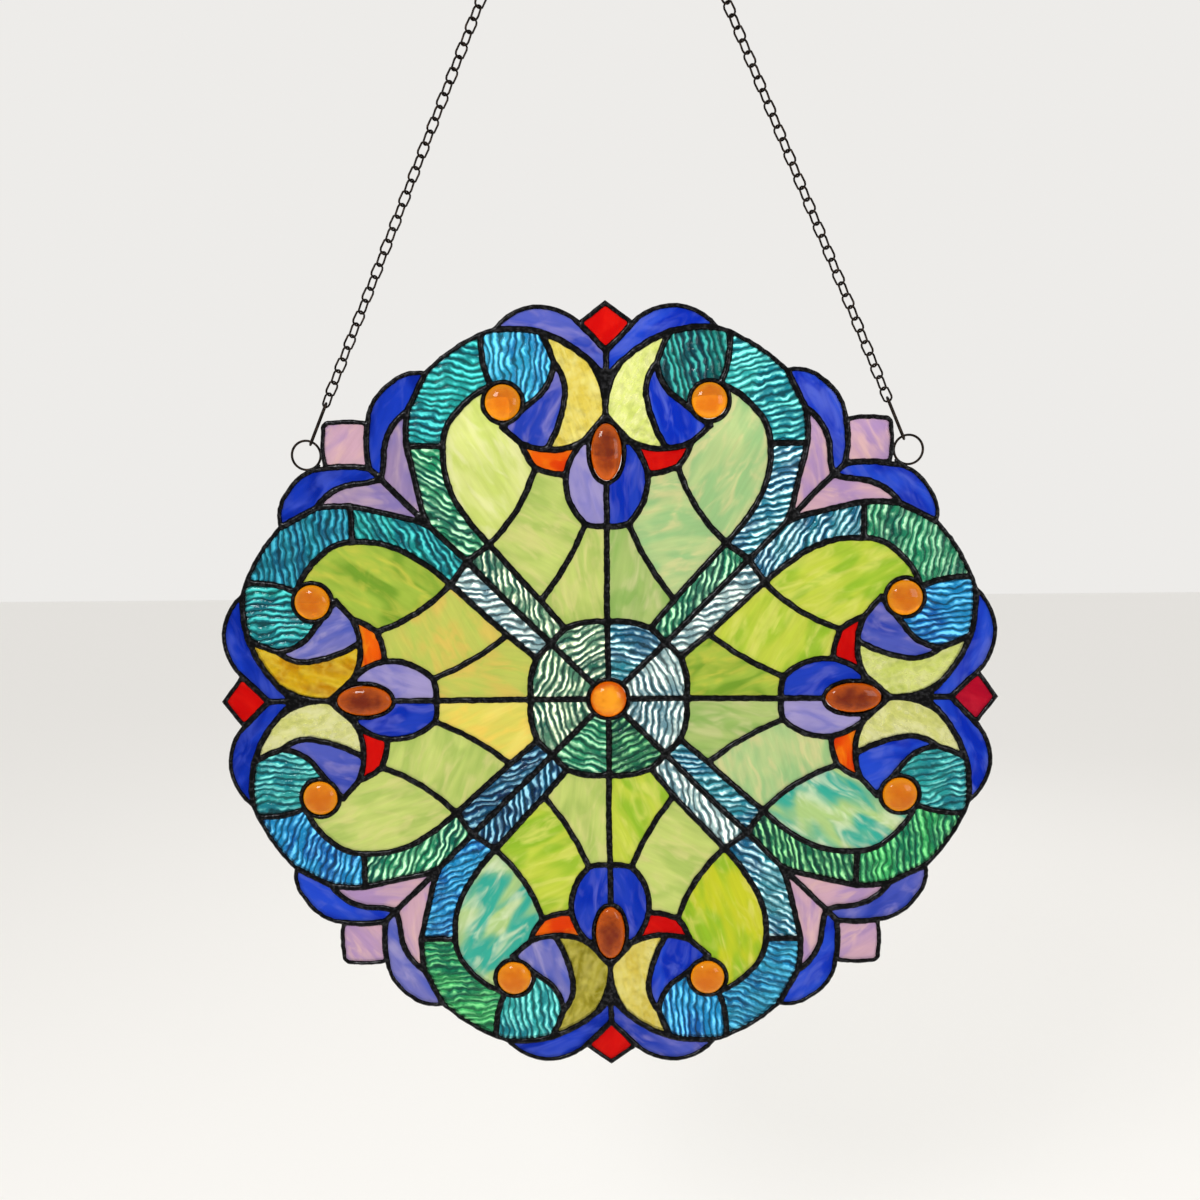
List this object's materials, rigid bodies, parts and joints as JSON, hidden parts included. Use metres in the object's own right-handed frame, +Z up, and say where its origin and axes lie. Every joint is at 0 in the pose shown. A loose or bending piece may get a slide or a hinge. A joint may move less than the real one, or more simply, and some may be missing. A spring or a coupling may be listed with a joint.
{
  "type": "stained glass panel",
  "caption": "Round lobed stained glass panel with heart-shaped bands, leaves, moons and domed jewels in dark solder lines, hung by a chain.",
  "frame": {"origin": "the point where the chain hangs on its nail or hook", "axes": "+Z up, +X to the right as seen from the front, -Y out of the front face"},
  "size_m": [0.4198, 0.0092, 0.7078],
  "materials": {
    "lead_solder": "rounded solder lines with a black patina and a soft sheen",
    "teal_glass": "rippled turquoise glass, see-through",
    "green_glass": "smooth streaky green and cream opal glass",
    "yellow_glass": "hammered pale yellow glass",
    "blue_glass": "smooth streaky blue opal glass; in the corners the inner leaves are pale pink",
    "violet_glass": "smooth streaky violet-blue opal glass; the small outer pieces of these nodes are red",
    "pink_glass": "smooth pale pink opal glass with lilac wisps",
    "red_glass": "smooth bright red glass",
    "amber_jewel": "clear amber glass, domed and polished",
    "brown_jewel": "clear brown-amber glass, domed and polished",
    "dark_wire": "dark bronzed steel wire"
  },
  "bodies": {
    "root": {"lead_lines": "lead_solder", "centre_jewel": "amber_jewel", "top_red_diamond": "red_glass", "top_blue_crest": "blue_glass", "top_yellow_moons": "yellow_glass", "top_tulip": "violet_glass", "top_green_fan": "green_glass", "top_heart_band": "teal_glass", "top_blue_leaf_right": "blue_glass", "top_blue_leaf_left": "blue_glass", "top_oval_jewel": "brown_jewel", "top_round_jewel_right": "amber_jewel", "top_round_jewel_left": "amber_jewel", "right_red_diamond": "red_glass", "right_blue_crest": "blue_glass", "right_yellow_moons": "yellow_glass", "right_tulip": "violet_glass", "right_green_fan": "green_glass", "right_heart_band": "teal_glass", "right_blue_leaf_right": "blue_glass", "right_blue_leaf_left": "blue_glass", "right_oval_jewel": "brown_jewel", "right_round_jewel_right": "amber_jewel", "right_round_jewel_left": "amber_jewel", "bottom_red_diamond": "red_glass", "bottom_blue_crest": "blue_glass", "bottom_yellow_moons": "yellow_glass", "bottom_tulip": "violet_glass", "bottom_green_fan": "green_glass", "bottom_heart_band": "teal_glass", "bottom_blue_leaf_right": "blue_glass", "bottom_blue_leaf_left": "blue_glass", "bottom_oval_jewel": "brown_jewel", "bottom_round_jewel_right": "amber_jewel", "bottom_round_jewel_left": "amber_jewel", "left_red_diamond": "red_glass", "left_blue_crest": "blue_glass", "left_yellow_moons": "yellow_glass", "left_tulip": "violet_glass", "left_green_fan": "green_glass", "left_heart_band": "teal_glass", "left_blue_leaf_right": "blue_glass", "left_blue_leaf_left": "blue_glass", "left_oval_jewel": "brown_jewel", "left_round_jewel_right": "amber_jewel", "left_round_jewel_left": "amber_jewel", "top_right_pink_square": "pink_glass", "top_right_corner_leaves": "blue_glass", "bottom_right_pink_square": "pink_glass", "bottom_right_corner_leaves": "blue_glass", "bottom_left_pink_square": "pink_glass", "bottom_left_corner_leaves": "blue_glass", "top_left_pink_square": "pink_glass", "top_left_corner_leaves": "blue_glass", "right_ring": "dark_wire", "right_hook": "dark_wire", "right_chain": "dark_wire", "left_ring": "dark_wire", "left_hook": "dark_wire", "left_chain": "dark_wire"}
  },
  "joints": []
}
